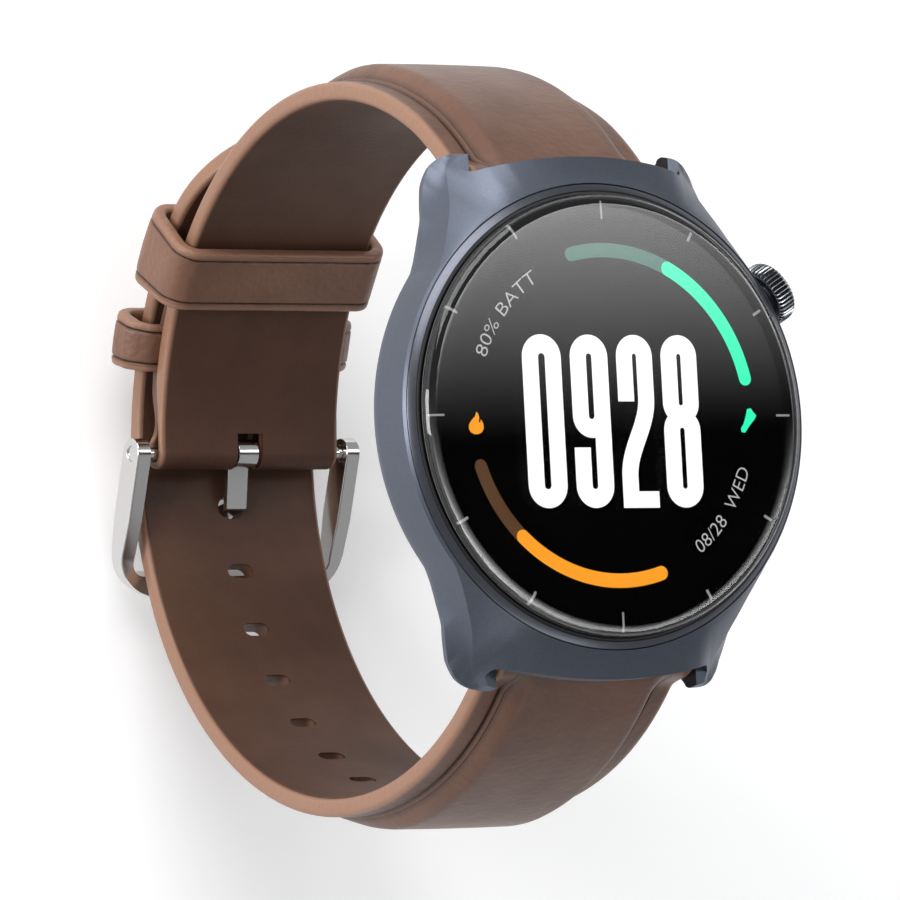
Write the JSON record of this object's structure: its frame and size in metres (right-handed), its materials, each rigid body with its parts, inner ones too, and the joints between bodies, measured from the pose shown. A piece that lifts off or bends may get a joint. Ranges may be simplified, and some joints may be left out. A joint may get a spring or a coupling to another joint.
{
  "type": "smartwatch",
  "caption": "Round smartwatch with a domed glass, a knurled crown and a padded leather strap closed by a tang buckle.",
  "frame": {"origin": "centre of the back crystal's face, which rests on the skin", "axes": "+Z out of the dial, +Y to 12 o'clock, +X to 3 o'clock"},
  "size_m": [0.0457, 0.0737, 0.0766],
  "materials": {
    "case_metal": "satin anodised, dark blue grey",
    "bezel_metal": "polished chamfer",
    "black_rubber": "matt",
    "cover_glass": "clear, domed at the edge",
    "display": "black panel with a lit watch face",
    "flex_film": "amber film",
    "inner_plastic": "matt, moulded",
    "circuit_board": "green solder mask",
    "bare_steel": "fine turned",
    "battery_foil": "foil pouch",
    "led_lens": "clear resin",
    "back_crystal": "dark tinted, polished",
    "back_plastic": "fine moulded texture",
    "contact_gold": "plated contact",
    "crown_metal": "dark, knurled, bright ridges",
    "strap_leather": "brown, fine grained, soft sheen",
    "lining_leather": "dark brown, smooth",
    "padding": "soft board",
    "keeper_leather": "brown, pebbled, creased rims",
    "polished_steel": "polished steel"
  },
  "bodies": {
    "root": {"case_frame": "case_metal", "bezel_ring": "bezel_metal", "glass_gasket": "black_rubber", "cover_glass": "cover_glass", "display_panel": "display", "display_flex": "flex_film", "inner_chassis": "inner_plastic", "main_board": "circuit_board", "shield_cans": "bare_steel", "battery": "battery_foil", "vibration_motor": "bare_steel", "sensor_board": "circuit_board", "sensor_leds": "led_lens", "light_barrier": "black_rubber", "back_crystal": "back_crystal", "back_cover": "back_plastic", "back_gasket": "black_rubber", "charging_rings": "contact_gold", "back_screws": "bare_steel", "crown_tube": "bare_steel", "crown_seal": "black_rubber", "crown_switch": "inner_plastic", "spring_bar_12": "bare_steel", "spring_bar_6": "bare_steel", "bar_spring_12": "bare_steel", "bar_spring_6": "bare_steel", "holed_strap_upper": "strap_leather", "holed_strap_padding": "padding", "holed_strap_lining": "lining_leather"},
    "crown_plunger": {"switch_plunger": "inner_plastic"},
    "crown_knob": {"crown": "crown_metal", "crown_stem": "bare_steel", "encoder_magnet": "inner_plastic"},
    "tip_12_left": {"bar_tip_12_left": "bare_steel"},
    "tip_12_right": {"bar_tip_12_right": "bare_steel"},
    "tip_6_left": {"bar_tip_6_left": "bare_steel"},
    "tip_6_right": {"bar_tip_6_right": "bare_steel"},
    "strap_12": {"buckle_strap_upper": "strap_leather", "buckle_strap_padding": "padding", "buckle_strap_lining": "lining_leather", "fixed_keeper": "keeper_leather"},
    "keeper": {"free_keeper": "keeper_leather"},
    "buckle": {"buckle_frame": "polished_steel", "buckle_bar": "polished_steel"},
    "tang": {"tang": "polished_steel"}
  },
  "joints": [
    {"name": "crown_press", "type": "slide", "parent": "root", "child": "crown_plunger", "axis": [-0.866, -0.5, 0], "range_m": [0, 0.0003], "stiffness_N_per_m": 3000, "springref_m": -0.0002},
    {"name": "crown_turn", "type": "hinge", "parent": "crown_plunger", "child": "crown_knob", "pos_m": [0, 0, 0.0054], "axis": [0.866, 0.5, 0], "continuous": true},
    {"name": "tip_12_left_press", "type": "slide", "parent": "root", "child": "tip_12_left", "axis": [1, 0, 0], "range_m": [0, 0.0013], "stiffness_N_per_m": 300, "springref_m": -0.002, "deforming": ["bar_spring_12"]},
    {"name": "tip_12_right_press", "type": "slide", "parent": "root", "child": "tip_12_right", "axis": [-1, 0, 0], "range_m": [0, 0.0013], "stiffness_N_per_m": 300, "springref_m": -0.002, "deforming": ["bar_spring_12"]},
    {"name": "tip_6_left_press", "type": "slide", "parent": "root", "child": "tip_6_left", "axis": [1, 0, 0], "range_m": [0, 0.0013], "stiffness_N_per_m": 300, "springref_m": -0.002, "deforming": ["bar_spring_6"]},
    {"name": "tip_6_right_press", "type": "slide", "parent": "root", "child": "tip_6_right", "axis": [-1, 0, 0], "range_m": [0, 0.0013], "stiffness_N_per_m": 300, "springref_m": -0.002, "deforming": ["bar_spring_6"]},
    {"name": "strap_swing", "type": "hinge", "parent": "root", "child": "strap_12", "pos_m": [0, 0.02253, 0.00295], "axis": [1, 0, 0], "range_deg": [-6, 8], "stiffness_Nm_per_rad": 0.3, "deforming": ["holed_strap_upper", "holed_strap_padding", "holed_strap_lining"]},
    {"name": "keeper_slide", "type": "hinge", "parent": "strap_12", "child": "keeper", "pos_m": [0, 0.00097, -0.02492], "axis": [1, 0, 0], "range_deg": [-4, 15]},
    {"name": "buckle_swing", "type": "hinge", "parent": "strap_12", "child": "buckle", "pos_m": [0, 0.00313, -0.05903], "axis": [1, 0, 0], "range_deg": [-1, 3]},
    {"name": "tang_lift", "type": "hinge", "parent": "buckle", "child": "tang", "pos_m": [0, 0.00313, -0.05903], "axis": [1, 0, 0], "range_deg": [0, 2]}
  ]
}
